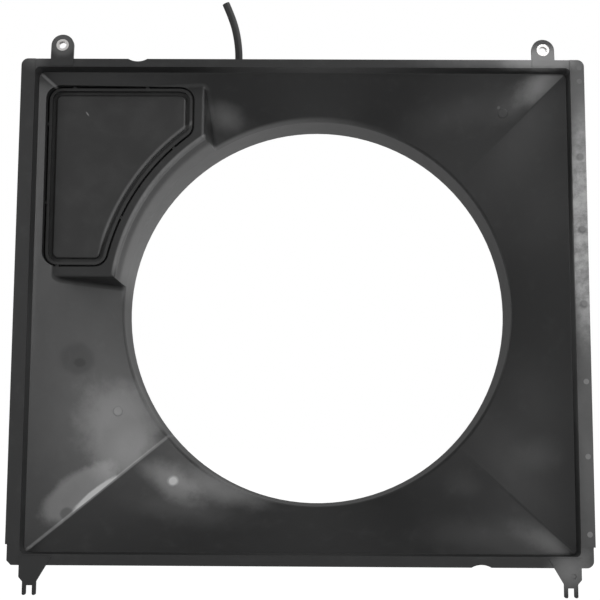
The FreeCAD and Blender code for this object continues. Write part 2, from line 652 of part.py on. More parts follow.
def filler_cap():
    """Snap cap with a skirt, a thumb tab and an open knuckle for the hinge pin."""
    x, depth = NECK_X, TUB_MIDDLE_DEPTH
    inner = NECK_RADIUS + NECK_BEAD + CAP_CLEARANCE
    outer = inner + CAP_WALL
    under = NECK_RIM + SEAL_GAP + SEAL_THICK
    top = under + CAP_WALL
    low = NECK_RIM - CAP_SKIRT
    cap = rod(outer, (x, depth, low), (x, depth, top))
    thumb = box(x - CAP_TAB_WIDTH / 2, x + CAP_TAB_WIDTH / 2, depth - outer - CAP_TAB, depth, under, top)
    corners = [edge for edge in thumb.Edges
               if abs(edge.tangentAt(edge.FirstParameter).z) > 0.9 and edge.CenterOfMass.y < depth - outer]
    cap = cap.fuse(thumb.makeFillet(CAP_TAB * 0.6, corners))
    axis_depth, axis_z = hinge_axis()
    barrel = HINGE_PIN_RADIUS + HINGE_RUNNING + HINGE_BARREL
    half = HINGE_WIDTH / 2 - HINGE_SIDE_GAP
    knuckle = rod(barrel, (x - half, axis_depth, axis_z), (x + half, axis_depth, axis_z))
    arm = box(x - half, x + half, depth + inner, axis_depth, axis_z, axis_z + barrel)
    cap = cap.fuse([knuckle, arm])
    pocket = rod(inner, (x, depth, low - SEAM), (x, depth, under))
    hole = rod(HINGE_PIN_RADIUS + HINGE_RUNNING, (x - half - SEAM, axis_depth, axis_z),
               (x + half + SEAM, axis_depth, axis_z))
    gap = 2 * HINGE_PIN_RADIUS * math.sin(math.radians(KNUCKLE_MOUTH_DEG / 2))
    mouth = box(x - half - SEAM, x + half + SEAM, axis_depth - gap / 2, axis_depth + gap / 2,
                axis_z - 2 * barrel, axis_z)
    return cap.cut([pocket, hole, mouth])


def cap_seal():
    """Flat rubber ring under the cap."""
    x, depth = NECK_X, TUB_MIDDLE_DEPTH
    low = NECK_RIM + SEAL_GAP
    return tube(NECK_RADIUS + SEAL_GAP, NECK_RADIUS + SEAL_GAP - SEAL_WIDTH,
                (x, depth, low), (x, depth, low + SEAL_THICK))


def hinge_axis():
    """Depth and height of the cap's hinge, behind the skirt and level with its lower edge."""
    skirt = NECK_RADIUS + NECK_BEAD + CAP_CLEARANCE + CAP_WALL
    return TUB_MIDDLE_DEPTH + skirt + HINGE_SETBACK, NECK_RIM - CAP_SKIRT


def cap_strap():
    """Ring round the neck that carries the cap's hinge pin between two ears."""
    x, depth = NECK_X, TUB_MIDDLE_DEPTH
    inner = NECK_RADIUS + STRAP_CLEARANCE
    top = NECK_RIM - CAP_SKIRT - STRAP_DROP
    low = top - STRAP_HEIGHT
    ring = tube(inner + STRAP_WIDTH, inner, (x, depth, low), (x, depth, top))
    axis_depth, axis_z = hinge_axis()
    ear_radius = HINGE_PIN_RADIUS + HINGE_BARREL
    pieces = [rod(HINGE_PIN_RADIUS, (x - HINGE_WIDTH / 2, axis_depth, axis_z),
                  (x + HINGE_WIDTH / 2, axis_depth, axis_z))]
    for side in (-1, 1):
        near = x + side * HINGE_WIDTH / 2
        ends = sorted([near, near + side * HINGE_EAR])
        pieces.append(rod(ear_radius, (ends[0], axis_depth, axis_z), (ends[1], axis_depth, axis_z)))
        profile = [(depth + inner + STRAP_WIDTH / 2, low), (depth + inner + STRAP_WIDTH / 2, top),
                   (axis_depth - ear_radius / 2, axis_z - ear_radius / 2), (axis_depth + ear_radius, axis_z),
                   (axis_depth + ear_radius / 2, axis_z - ear_radius)]
        wire = Part.makePolygon([Vector(ends[0], d, z) for d, z in profile + profile[:1]])
        pieces.append(Part.Face(wire).extrude(Vector(ends[1] - ends[0], 0, 0)))
    return ring.fuse(pieces)


def fitting_rod(radius, x0, x1):
    """Rod on the fitting's axis through the reservoir's side wall."""
    return rod(radius, (x0, FITTING_DEPTH, FITTING_Z), (x1, FITTING_DEPTH, FITTING_Z))


def turned_up(shape):
    """Turn a shape that lies on the fitting's axis about its bend, to point up the hose."""
    return shape.rotate(Vector(ELBOW_X, FITTING_DEPTH, FITTING_Z), Y_AXIS, -45)


def nipple_grommet():
    """Rubber grommet in the reservoir's side wall."""
    outside, inside = TUB_RIGHT, TUB_RIGHT - WALL
    front, back = outside + GROMMET_FLANGE, inside - GROMMET_FLANGE
    body = fitting_rod(GROMMET_HOLE_RADIUS + GROMMET_SQUEEZE, back, front)
    body = body.fuse([fitting_rod(GROMMET_FLANGE_RADIUS, outside, front),
                      fitting_rod(GROMMET_FLANGE_RADIUS, back, inside)])
    return body.cut(fitting_rod(FITTING_RADIUS - GROMMET_SQUEEZE, back - SEAM, front + SEAM))


def hose_nipple():
    """Elbow through the grommet: a spigot for the pick-up tube inside, one for the hose outside."""
    collar = TUB_RIGHT + GROMMET_FLANGE
    inner_end = TUB_RIGHT - WALL - GROMMET_FLANGE
    bend = (ELBOW_X, FITTING_DEPTH, FITTING_Z)
    shoulder = (ELBOW_X + ELBOW_RISE, FITTING_DEPTH, FITTING_Z + ELBOW_RISE)
    reach = ELBOW_X + ELBOW_RISE * math.sqrt(2)
    path, radii = hose_path([(inner_end, FITTING_DEPTH, FITTING_Z), bend, shoulder])
    body = pipe(path, FITTING_RADIUS)
    body = body.fuse([fitting_rod(FITTING_COLLAR_RADIUS, collar, collar + FITTING_COLLAR),
                      fitting_rod(SPIGOT_RADIUS, inner_end - SPIGOT_INSIDE, inner_end),
                      turned_up(fitting_rod(SPIGOT_RADIUS, reach, reach + SPIGOT_LENGTH))])
    bores = [pipe(path, FITTING_BORE),
             fitting_rod(FITTING_BORE, inner_end - SPIGOT_INSIDE - SEAM, inner_end + SEAM),
             turned_up(fitting_rod(FITTING_BORE, reach - SEAM, reach + SPIGOT_LENGTH + SEAM))]
    return body.cut(bores)


def pickup_tube():
    """Tube inside the reservoir, from the fitting down to the bottom of the tub."""
    start_x = TUB_RIGHT - WALL - GROMMET_FLANGE
    low = PAN_BOTTOM - CAVITY_SETOUT + TUBE_FOOT_CLEARANCE
    foot_x = -math.sqrt((PAN_ARC + TUBE_ARC_CLEARANCE) ** 2 - low ** 2)
    route = [(start_x, FITTING_DEPTH, FITTING_Z), (start_x - TUBE_FIRST_RUN, FITTING_DEPTH, FITTING_Z),
             (foot_x, FITTING_DEPTH, low)]
    return hollow_pipe(route, TUBE_RADIUS, TUBE_BORE)


def hose_clamp():
    """Spring clamp on the hose, over the spigot, with two pinch ears."""
    start = ELBOW_X + ELBOW_RISE * math.sqrt(2) + (SPIGOT_LENGTH - CLAMP_WIDTH) / 2
    end = start + CLAMP_WIDTH
    inner = HOSE_RADIUS + CLAMP_GAP
    band = fitting_rod(inner + CLAMP_THICK, start, end).cut(fitting_rod(inner, start - SEAM, end + SEAM))
    gap = box(start - SEAM, end + SEAM, FITTING_DEPTH - CLAMP_THICK, FITTING_DEPTH + CLAMP_THICK,
              FITTING_Z, FITTING_Z + 2 * inner)
    ears = []
    for side in (-1, 1):
        edge = FITTING_DEPTH + side * CLAMP_THICK
        ends = sorted([edge, edge + side * CLAMP_THICK])
        ears.append(box(start, end, ends[0], ends[1], FITTING_Z + inner, FITTING_Z + inner + CLAMP_EAR))
    return turned_up(band.cut(gap).fuse(ears))


os.makedirs("parts", exist_ok=True)
export("shroud_body", shroud_body())
export("reservoir_cover", reservoir_cover())
export("filler_cap", filler_cap())
export("cap_seal", cap_seal())
export("cap_strap", cap_strap())
export("nipple_grommet", nipple_grommet())
export("hose_nipple", hose_nipple())
export("pickup_tube", pickup_tube())
export("overflow_hose", hollow_pipe(hose_points(), HOSE_RADIUS, HOSE_BORE))
export("hose_clamp", hose_clamp())
export("limiter_left", limiter(-1, TAB_EXTENSIONS["left"]))
export("limiter_right", limiter(1, TAB_EXTENSIONS["right"]))
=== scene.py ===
# %% [markdown]
# # A radiator fan shroud with a coolant reservoir
# The shroud is one black plastic moulding. Its flange seals against the radiator, four sloping panels
# gather the air, and a round ring surrounds the fan. The CAD model already holds every rigid piece, so
# this notebook gives them their finishes, and adds the rubber hose and the small moulding marks.

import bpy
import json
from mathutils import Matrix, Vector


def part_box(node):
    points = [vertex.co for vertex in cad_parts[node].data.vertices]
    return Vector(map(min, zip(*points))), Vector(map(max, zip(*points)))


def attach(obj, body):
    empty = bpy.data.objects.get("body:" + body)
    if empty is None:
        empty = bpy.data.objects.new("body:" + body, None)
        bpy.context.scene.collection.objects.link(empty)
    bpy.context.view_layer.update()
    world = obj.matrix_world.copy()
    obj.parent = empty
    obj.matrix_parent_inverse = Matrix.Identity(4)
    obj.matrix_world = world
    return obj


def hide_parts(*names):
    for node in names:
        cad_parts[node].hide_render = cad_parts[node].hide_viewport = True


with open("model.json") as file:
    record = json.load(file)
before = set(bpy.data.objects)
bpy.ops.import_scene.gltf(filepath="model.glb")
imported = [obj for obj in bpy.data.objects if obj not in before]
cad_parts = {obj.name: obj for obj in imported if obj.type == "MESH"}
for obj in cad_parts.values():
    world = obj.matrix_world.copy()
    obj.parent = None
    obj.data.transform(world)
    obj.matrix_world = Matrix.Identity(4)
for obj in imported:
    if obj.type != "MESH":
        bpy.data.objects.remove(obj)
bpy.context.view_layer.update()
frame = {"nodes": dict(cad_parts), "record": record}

import json
import math

import bpy
import numpy as np
from mathutils import Vector
from mathutils.bvhtree import BVHTree

nodes = frame["nodes"]
print("nodes:", ", ".join(sorted(nodes)))

# %% [markdown]
# ## The camera
# The object is seen nearly square on, from a little below its middle, with a long lens. The camera
# comes first.

# %% Camera
CAMERA_PLACE = (-0.0133, -1.341, -0.1341)
CAMERA_TURN_DEG = (96.386, -0.294, 0.316)
CAMERA_LENS = 65.2
CAMERA_SENSOR = 36

camera_data = bpy.data.cameras.new("camera")
camera_data.lens = CAMERA_LENS
camera_data.sensor_width = CAMERA_SENSOR
camera = bpy.data.objects.new("camera", camera_data)
camera.location = CAMERA_PLACE
camera.rotation_euler = [math.radians(turn) for turn in CAMERA_TURN_DEG]
bpy.context.scene.collection.objects.link(camera)
bpy.context.scene.camera = camera
print("camera lens", CAMERA_LENS, "mm")

# %% [markdown]
# ## Surfaces from arrays
# Each added piece is a grid of points worked out with numpy, because a tube and a disc are both one
# outline repeated in rows. Modifiers could make them too, but a grid keeps the count of faces in hand.
# The grid always wraps round along a row. Where the rows wrap as well, it closes into a tube with a
# wall; where they don't, the first row can shrink almost to a point, as on a disc.

# %% Mesh helper
def grid_mesh(name, points, wrap_rows=False):
    """Mesh from points[i, j]; j always wraps round, and i wraps too where wrap_rows is true."""
    rows, columns = points.shape[:2]
    i = np.arange(rows if wrap_rows else rows - 1)[:, None]
    j = np.arange(columns)[None, :]
    after_i, after_j = (i + 1) % rows, (j + 1) % columns
    corners = [i * columns + j, after_i * columns + j,
               after_i * columns + after_j, i * columns + after_j]
    faces = np.stack(np.broadcast_arrays(*corners), axis=-1).reshape(-1, 4)
    mesh = bpy.data.meshes.new(name)
    mesh.from_pydata(points.reshape(-1, 3).tolist(), [], faces.tolist())
    mesh.polygons.foreach_set("use_smooth", np.ones(len(faces), dtype=bool))
    mesh.update()
    piece = bpy.data.objects.new(name, mesh)
    bpy.context.scene.collection.objects.link(piece)
    return piece


# %% [markdown]
# ## The overflow hose
# A short length of stiff rubber hose is pushed onto the elbow behind the reservoir, passes up behind
# the flange and ends open. A bevelled curve would be quicker to make, but it has no bore. So a NURBS
# curve gives only the line, and a tube with a real wall follows it, which leaves the end open.

# %% Hose
HOSE_ROUTE = [
    (-0.1330, -0.0375, 0.2350),
    (-0.1145, -0.0375, 0.2535),
    (-0.1025, -0.0440, 0.2760),
    (-0.0968, -0.0530, 0.3010),
    (-0.0980, -0.0610, 0.3260),
    (-0.1039, -0.0665, 0.3505),
    (-0.1129, -0.0695, 0.3700),
]
HOSE_RADIUS = 0.0045
HOSE_BORE = 0.0029
HOSE_STATIONS = 160
HOSE_SIDES = 40
CUT_EASE = (HOSE_RADIUS - HOSE_BORE) / 8
CURVE_STEPS = 24
CURVE_ORDER = 3


def nurbs_line(points, name):
    """Points along the smooth curve that the control points describe."""
    curve = bpy.data.curves.new(name, "CURVE")
    curve.dimensions = "3D"
    curve.resolution_u = CURVE_STEPS
    spline = curve.splines.new("NURBS")
    spline.points.add(len(points) - 1)
    for point, place in zip(spline.points, points):
        point.co = (*place, 1)
    spline.order_u = CURVE_ORDER
    spline.use_endpoint_u = True
    holder = bpy.data.objects.new(name, curve)
    bpy.context.scene.collection.objects.link(holder)
    mesh = bpy.data.meshes.new_from_object(holder)
    line = np.array([vertex.co[:] for vertex in mesh.vertices])
    bpy.data.objects.remove(holder)
    bpy.data.meshes.remove(mesh)
    return line


def evenly(line, count):
    """The same line, resampled at equal steps of arc length, and its length."""
    along = np.r_[0, np.cumsum(np.linalg.norm(np.diff(line, axis=0), axis=1))]
    wanted = np.linspace(0, along[-1], count)
    places = [np.interp(wanted, along, line[:, axis]) for axis in range(3)]
    return np.stack(places, axis=1), along[-1]


def cross_axes(line):
    """Two axes across the line at each point: one kept near the world's Y, and their cross product."""
    tangent = np.gradient(line, axis=0)
    tangent /= np.linalg.norm(tangent, axis=1)[:, None]
    first = np.array([0.0, 1.0, 0.0]) - tangent * tangent[:, 1:2]
    first /= np.linalg.norm(first, axis=1)[:, None]
    return first, np.cross(tangent, first)


hose_line, hose_length = evenly(nurbs_line(HOSE_ROUTE, "hose line"), HOSE_STATIONS)
first, second = cross_axes(hose_line)

# Walk round the wall's section: up the outside, over the cut end, back down the bore and over the
# lower end. Both edges of the cut end are eased a little.
mid_wall = (HOSE_RADIUS + HOSE_BORE) / 2
stations = np.r_[0:HOSE_STATIONS, HOSE_STATIONS - 1, HOSE_STATIONS - 1:-1:-1, 0]
radii = np.r_[np.full(HOSE_STATIONS, HOSE_RADIUS), mid_wall,
              np.full(HOSE_STATIONS, HOSE_BORE), mid_wall]
radii[HOSE_STATIONS - 1] -= CUT_EASE
radii[HOSE_STATIONS + 1] += CUT_EASE
turn = np.linspace(0, 2 * np.pi, HOSE_SIDES, endpoint=False)
outward = (first[stations][:, None] * np.cos(turn)[None, :, None]
           + second[stations][:, None] * np.sin(turn)[None, :, None])
wall = hose_line[stations][:, None] + outward * radii[:, None, None]
hose = grid_mesh("hose", wall, wrap_rows=True)
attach(hose, "shroud")
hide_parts("overflow_hose")
print("hose length", round(float(hose_length) * 1000, 1), "mm")

# %% [markdown]
# ## Moulding marks
# Pins push the moulding out of its tool, and each leaves a shallow round mark that stands a fraction of
# a millimetre proud. Bump in the material could hint at them, but a shape belongs in the mesh. Each one
# is a low disc with a rounded edge, laid on the surface that a ray finds below it. Those on the strip
# down the right side are small, and very low so that they stay within the CAD model's size, and those
# on the panels are larger and higher.

# %% Ejector marks
LIP_MARK_RADIUS = 0.0032
LIP_MARK_RISE = 0.0001
LIP_MARKS = (0.273, 0.257, 0.169, 0.085, 0.0, -0.088, -0.171, -0.256)  # heights up the strip
LIP_INSET = 0.006                                                      # from the strip's outer edge
PANEL_MARK_RADIUS = 0.0062
PANEL_MARK_RISE = 0.0007
PANEL_MARKS = [(-0.237, -0.123), (-0.170, -0.205), (0.2205, 0.2337)]   # across and up
MARK_SIDES = 28
RAY_START = 0.05                                                       # in front of the moulding
# Shares of the radius and of the rise, from the middle to the edge, which sinks into the surface.
MARK_PROFILE = [(0.001, 0.75), (0.55, 0.7), (0.8, 1.0), (0.92, 0.8), (1.0, -0.6)]

body_low, body_high = [Vector(corner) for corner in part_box("shroud_body")]
body_mesh = nodes["shroud_body"].data
body_tree = BVHTree.FromPolygons([vertex.co for vertex in body_mesh.vertices],
                                 [list(face.vertices) for face in body_mesh.polygons])


def front_surface(x, z):
    """Place and normal of the moulding's front surface at x and z."""
    start = Vector((x, body_low.y - RAY_START, z))
    place, normal, _, _ = body_tree.ray_cast(start, Vector((0, 1, 0)))
    return place, normal


def marks(name, places, radius, rise):
    """One mesh of low discs: each is MARK_PROFILE turned about the normal of the surface below it."""
    profile = np.array(MARK_PROFILE)
    turn = np.linspace(0, 2 * np.pi, MARK_SIDES, endpoint=False)
    pieces = []
    for x, z in places:
        centre, normal = front_surface(x, z)
        side = normal.orthogonal().normalized()
        other = normal.cross(side)
        ring = np.cos(turn)[:, None] * np.array(side) + np.sin(turn)[:, None] * np.array(other)
        points = (np.array(centre) + profile[:, 0, None, None] * radius * ring[None]
                  + profile[:, 1, None, None] * rise * np.array(normal))
        pieces.append(grid_mesh(name, points[::-1]))
    with bpy.context.temp_override(active_object=pieces[0], object=pieces[0],
                                   selected_objects=pieces, selected_editable_objects=pieces):
        bpy.ops.object.join()
    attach(pieces[0], "shroud")
    print(name, len(places), "marks")
    return pieces[0]


right_lip = body_high.x - LIP_INSET
lip_marks = marks("lip_marks", [(right_lip, z) for z in LIP_MARKS], LIP_MARK_RADIUS, LIP_MARK_RISE)
panel_marks = marks("panel_marks", PANEL_MARKS, PANEL_MARK_RADIUS, PANEL_MARK_RISE)

# %% [markdown]
# ## Shader arithmetic
# Most of this object's look is where its plastic is pale, and such a mask is a long sum of products.
# Nodes could be placed and linked one by one, but a small class that wraps a socket lets the mask be
# written as ordinary arithmetic. A second class makes every other node from its type, its settings and
# its inputs, for a material or for the world.

# %% A socket with arithmetic
class Link:
    """A socket in a graph; arithmetic on it adds Math nodes."""

    def __init__(self, graph, socket):
        self.graph = graph
        self.socket = socket

    def __add__(self, other):
        return self.graph.math("ADD", self, other)

    def __sub__(self, other):
        return self.graph.math("SUBTRACT", self, other)

    def __rsub__(self, other):
        return self.graph.math("SUBTRACT", other, self)

    def __mul__(self, other):
        return self.graph.math("MULTIPLY", self, other)

    def clamp(self):
        """This value, held between 0 and 1."""
        return self.graph.math("MINIMUM", self.graph.math("MAXIMUM", self, 0.0), 1.0)

    __radd__ = __add__


# %% Nodes of a material or of the world
RAGGEDNESS = 0.9     # how far noise moves an outline, as a share of the patch's radii


class Graph:
    """The nodes of a material or of the world, with its shader ready."""

    def __init__(self, owner, shader="Principled BSDF", coordinates="Object"):
        self.owner = owner
        owner.use_nodes = True
        self.tree = owner.node_tree
        self.shader = self.tree.nodes[shader]
        self.place = self.add("ShaderNodeTexCoord", {}, {}, coordinates)

    def plug(self, socket, value):
        """Link a socket, or set it where the value is a plain one."""
        if isinstance(value, Link):
            self.tree.links.new(value.socket, socket)
        else:
            socket.default_value = value

    def add(self, kind, settings, inputs, output=0):
        """A node of this kind; inputs are keyed by the socket's name or number."""
        made = self.tree.nodes.new(kind)
        for key, value in settings.items():
            setattr(made, key, value)
        for key, value in inputs.items():
            self.plug(made.inputs[key], value)
        return Link(self, made.outputs[output])

    def math(self, operation, *values):
        """A Math node, such as the sum of two values or the square root of one."""
        return self.add("ShaderNodeMath", {"operation": operation}, dict(enumerate(values)))

    def noise(self, scale, detail=4.0, roughness=0.5, stretch=None):
        """Fractal noise from 0 to 1 on the graph's own coordinates; scale is in cycles a metre."""
        place = self.place
        if stretch:
            place = self.add("ShaderNodeMapping", {}, {"Vector": place, "Scale": stretch})
        inputs = {"Vector": place, "Scale": scale, "Detail": detail, "Roughness": roughness}
        return self.add("ShaderNodeTexNoise", {}, inputs, "Fac")

    def ramp(self, value, low, high):
        """0 at low, 1 at high, smooth between; low may be the larger of the two."""
        inputs = {"Value": value, "From Min": low, "From Max": high}
        return self.add("ShaderNodeMapRange", {"interpolation_type": "SMOOTHSTEP"}, inputs)

    def parts(self):
        """The coordinates across, rearwards and up, each as a link."""
        split = self.tree.nodes.new("ShaderNodeSeparateXYZ")
        self.plug(split.inputs[0], self.place)
        return [Link(self, output) for output in split.outputs]

    def region(self, limits):
        """Product of ramps: each limit names a coordinate, and gives its values for 0 and for 1."""
        across, rearwards, up = self.parts()
        places = {"across": across, "rearwards": rearwards, "up": up,
                  "radius": self.math("SQRT", across * across + up * up)}
        inside = 1.0
        for name, low, high in limits:
            inside = self.ramp(places[name], low, high) * inside
        return inside

    def patch(self, centre, radii, turn=0.0, core=0.0, ragged=None):
        """1 inside the core of an ellipsoid turned about Y, fading to 0 at its surface.

        core is a share of the radii; ragged is a link from 0 to 1 that makes the outline uneven.
        """
        rotation = (0, math.radians(turn), 0)
        inputs = {"Vector": self.place, "Location": centre, "Rotation": rotation, "Scale": radii}
        local = self.add("ShaderNodeMapping", {"vector_type": "TEXTURE"}, inputs)
        distance = self.add("ShaderNodeVectorMath", {"operation": "LENGTH"}, {0: local}, "Value")
        if ragged:
            distance = distance + (ragged - 0.5) * RAGGEDNESS
        return self.ramp(distance, 1.0, core)

    def mix(self, factor, first, second):
        """Blend of two colours: a Mix node takes them at inputs 6 and 7, and output 2 is the result."""
        return self.add("ShaderNodeMix", {"data_type": "RGBA"}, {0: factor, 6: first, 7: second}, 2)

    def bump(self, height, strength, distance, below=None):
        """Normal of a relief: height, from 0 to 1, times distance in metres; below is a bump under it."""
        inputs = {"Height": height, "Strength": strength, "Distance": distance}
        if below:
            inputs["Normal"] = below
        return self.add("ShaderNodeBump", {}, inputs)

    def surface(self, **values):
        """Set the shader's inputs, named with underscores for spaces."""
        for key, value in values.items():
            self.plug(self.shader.inputs[key.replace("_", " ")], value)


# %% Small helpers for finishes
def finish(name):
    """The graph of a new material."""
    return Graph(bpy.data.materials.new(name))


def grey(level, warmth=0.0):
    """Opaque grey, a little warmer or cooler."""
    return (level * (1 + warmth), level, level * (1 - warmth), 1)


def uneven(noise, least, added):
    """A strength of least where the noise is 0, and of least and added together where it is 1."""
    return noise * added + least


# %% [markdown]
# ## Moulded black plastic
# Glass- or talc-filled plastic is not an even black. It has a fine grain, a slight waviness where
# thick places sank as they cooled, and a pale bloom, which is partly dust and rubbing and partly painted
# highlight and painted reflection where the glossy surface would catch the lamps. The bloom could be
# painted on an unwrapped picture, but here it is a sum of soft ellipsoids in the object's own
# coordinates, so that every spot can be moved by a number. Each spot has its centre, its radii, its turn
# about Y in degrees, its strength, and the share of its radii that has the full strength. Noise breaks
# up the outlines. A panel's spots end at its crease, and those under "any" have no such edge. A dull
# spot takes the bloom away and roughens the surface, so it is darker; it has a centre, radii and a
# strength.

# %% Where the bloom and painted sheen lie
# These spots are partly dust and rubbing and partly painted highlight and painted reflection: the
# strongest spot on the left panel is a painted highlight along the lower left crease, the corners of the
# top and lower right panels carry painted reflection, and so do the flanges' fronts under "any".
BLOOM_AND_SHEEN_SPOTS = {
    "left": [((-0.245, -0.055, -0.110), (0.110, 0.10, 0.170), 0, 0.05, 0.0),
             ((-0.232, -0.048, -0.150), (0.055, 0.10, 0.085), -15, 0.26, 0.4),
             ((-0.219, -0.045, -0.168), (0.040, 0.06, 0.034), -40, 0.12, 0.2),
             ((-0.274, -0.076, -0.217), (0.058, 0.08, 0.025), -40, 0.27, 0.6),
             ((-0.258, -0.066, -0.219), (0.036, 0.05, 0.006), -40, 1.20, 0.4)],
    "bottom": [((-0.170, -0.042, -0.2045), (0.0085, 0.03, 0.0075), 0, 0.80, 0.3),
               ((-0.172, -0.046, -0.206), (0.054, 0.06, 0.023), 32, 0.25, 0.3),
               ((-0.118, -0.032, -0.212), (0.095, 0.05, 0.026), 14, 0.28, 0.0),
               ((-0.150, -0.055, -0.236), (0.100, 0.06, 0.026), 8, 0.07, 0.0)],
    "lower right": [((0.262, -0.100, -0.268), (0.085, 0.04, 0.020), 25, 0.20, 0.0),
                    ((0.190, -0.085, -0.262), (0.120, 0.04, 0.040), 10, 0.05, 0.0)],
    "top": [((0.268, -0.098, 0.266), (0.060, 0.04, 0.026), -37, 0.42, 0.1),
            ((0.232, -0.090, 0.240), (0.070, 0.04, 0.024), -37, 0.10, 0.0),
            ((0.215, -0.085, 0.2397), (0.0026, 0.03, 0.0026), 0, 0.12, 0.5),
            ((0.175, -0.070, 0.235), (0.140, 0.05, 0.030), -15, 0.04, 0.0),
            ((-0.112, -0.060, 0.232), (0.036, 0.05, 0.022), 15, 0.21, 0.0)],
    "any": [((0.252, -0.080, -0.172), (0.040, 0.06, 0.030), 0, 0.07, 0.0),
            ((-0.237, -0.070, -0.123), (0.0070, 0.05, 0.0070), 0, 0.08, 0.7),
            ((0.170, -0.070, -0.205), (0.034, 0.06, 0.026), 0, 0.05, 0.0),
            ((0.256, -0.123, 0.284), (0.060, 0.02, 0.020), 0, 0.30, 0.3),
            ((0.210, -0.123, 0.284), (0.130, 0.02, 0.020), 0, 0.16, 0.0),
            ((0.300, -0.123, 0.230), (0.030, 0.02, 0.080), 0, 0.10, 0.3),
            ((0.304, -0.124, -0.150), (0.030, 0.02, 0.190), 0, 0.12, 0.3),
            ((-0.332, -0.121, 0.288), (0.024, 0.02, 0.026), 0, 0.14, 0.0),
            ((-0.298, -0.120, 0.300), (0.018, 0.02, 0.018), 0, 0.12, 0.5),
            ((0.276, -0.123, -0.296), (0.035, 0.02, 0.030), 0, 0.26, 0.0)],
}
CREASES_DEG = {"upper left": 140.3, "lower left": 220.5, "lower right": -44.1, "upper right": 43.3}
# The crease that bounds each panel's spots, and which side of it the panel is on.
PANEL_EDGES = {"left": ("lower left", -1), "bottom": ("lower left", 1),
               "lower right": ("lower right", -1), "top": ("upper right", 1)}
DULL_SPOTS = [((-0.282, -0.067, -0.062), (0.023, 0.05, 0.023), 0.5),
              ((-0.2795, -0.067, -0.0665), (0.0075, 0.05, 0.0065), 0.5),
              ((-0.2865, -0.080, -0.240), (0.0085, 0.05, 0.0085), 0.5)]
print("spots of bloom:", sum(len(spots) for spots in BLOOM_AND_SHEEN_SPOTS.values()))

# %% Spots on their panels
PLASTIC = 0.021
WEAR_AND_SHEEN_GREY = 0.5
PANELS_BEGIN = (-0.1015, -0.0995)    # rearwards, where the masks on the panels go from 0 to 1
CREASE_BLEND = (-0.0004, 0.0012)     # the same across a crease
shroud = finish("moulded plastic")
cloud = shroud.noise(scale=22.0, detail=6.0, roughness=0.65)
mottle = shroud.noise(scale=60.0, detail=4.0, roughness=0.55)
across, rearwards, up = shroud.parts()


def beside_crease(corner):
    """Distance from the line that runs out from the fan's axis towards this corner, with a sign."""
    turn = math.radians(CREASES_DEG[corner])
    return up * math.cos(turn) - across * math.sin(turn)


def past_crease(corner, side):
    """1 on one side of this corner's crease, 0 on the other."""
    return shroud.ramp(beside_crease(corner) * side, *CREASE_BLEND)


on_panels = shroud.ramp(rearwards, *PANELS_BEGIN)
bloom_and_sheen = 0.0
for panel, spots in BLOOM_AND_SHEEN_SPOTS.items():
    total = 0.0
    for centre, radii, turn, level, core in spots:
        total = shroud.patch(centre, radii, turn, core, ragged=cloud) * level + total
    if panel in PANEL_EDGES:
        total = total * past_crease(*PANEL_EDGES[panel]) * on_panels
    bloom_and_sheen = total + bloom_and_sheen
dull = 0.0
for centre, radii, level in DULL_SPOTS:
    dull = shroud.patch(centre, radii, core=0.6) * level + dull
bloom_and_sheen = bloom_and_sheen * uneven(cloud, least=0.6, added=0.8) * (1.0 - dull).clamp()
print("dull spots:", len(DULL_SPOTS))

# %% [markdown]
# Four more places are pale because of their shape, so each follows it. Two creases on the left carry a
# painted highlight along their tops, the strip down the right side carries a painted reflection broken
# up by noise, the fan ring beside the reservoir carries a painted reflection, and the reservoir's edge
# carries a painted highlight where it follows the ring.

# %% Painted highlights along creases
CREASE_HIGHLIGHT_FADE = (0.0026, 0.0006)       # distance from the crease's line where the painted highlight goes from 0 to 1
CREASE_HIGHLIGHTS = [("lower left", 0.165, 0.190), ("upper left", 0.300, 0.312)]


def crease_highlight(corner, begins, full):
    """Painted highlight: 1 along this corner's crease; begins and full are distances left of the fan's
    axis.
    """
    beside = shroud.math("ABSOLUTE", beside_crease(corner))
    return shroud.ramp(beside, *CREASE_HIGHLIGHT_FADE) * shroud.ramp(across, -begins, -full)


creases = 0.0
for paler in CREASE_HIGHLIGHTS:
    creases = crease_highlight(*paler) + creases
creases = creases * on_panels * uneven(mottle, least=0.14, added=0.3)
print("worn creases:", len(CREASE_HIGHLIGHTS))

# %% Painted reflection on the strip
STRIP_FRONT = -0.124
STRIP_PLACE = (0.304, STRIP_FRONT, 0.088)
STRIP_RADII = (0.030, 0.012, 0.170)
MARK_SHADE_SHIFT = (-0.0010, -0.0012)      # across and up, from the mark to the middle of its painted shade
MARK_SHADE_RADII = (0.0062, 0.012, 0.0056)
MARK_SHADE_DARKENS = 0.55

# The pale strip down the right side is a painted reflection, broken up by noise.
sheen_breakup = shroud.ramp(shroud.noise(scale=70.0, detail=7.0, roughness=0.75), low=0.30, high=0.70)
strip = shroud.patch(STRIP_PLACE, STRIP_RADII, core=0.35) * uneven(sheen_breakup, least=0.28, added=0.50)
# Each ejector mark gets painted shade a little below and to the left of it, cut out of the strip's painted
# reflection.
for z in LIP_MARKS:
    centre = (right_lip + MARK_SHADE_SHIFT[0], STRIP_FRONT, z + MARK_SHADE_SHIFT[1])
    strip = strip * (1.0 - shroud.patch(centre, MARK_SHADE_RADII, core=0.5) * MARK_SHADE_DARKENS)
print("halos on the strip:", len(LIP_MARKS))

# %% Painted reflection in the ring and painted highlight on the edge
RING_SHEEN = [("radius", 0.240, 0.236), ("across", 0.14, -0.14), ("up", 0.0, 0.05),
             ("rearwards", -0.072, -0.054)]
EDGE_HIGHLIGHT = [("radius", 0.237, 0.2385), ("radius", 0.2452, 0.2428), ("rearwards", -0.080, -0.084),
               ("across", -0.095, -0.115), ("up", 0.03, 0.05)]
# Painted reflection on the fan ring beside the reservoir.
ring_sheen = shroud.region(RING_SHEEN) * uneven(cloud, least=0.22, added=0.10)
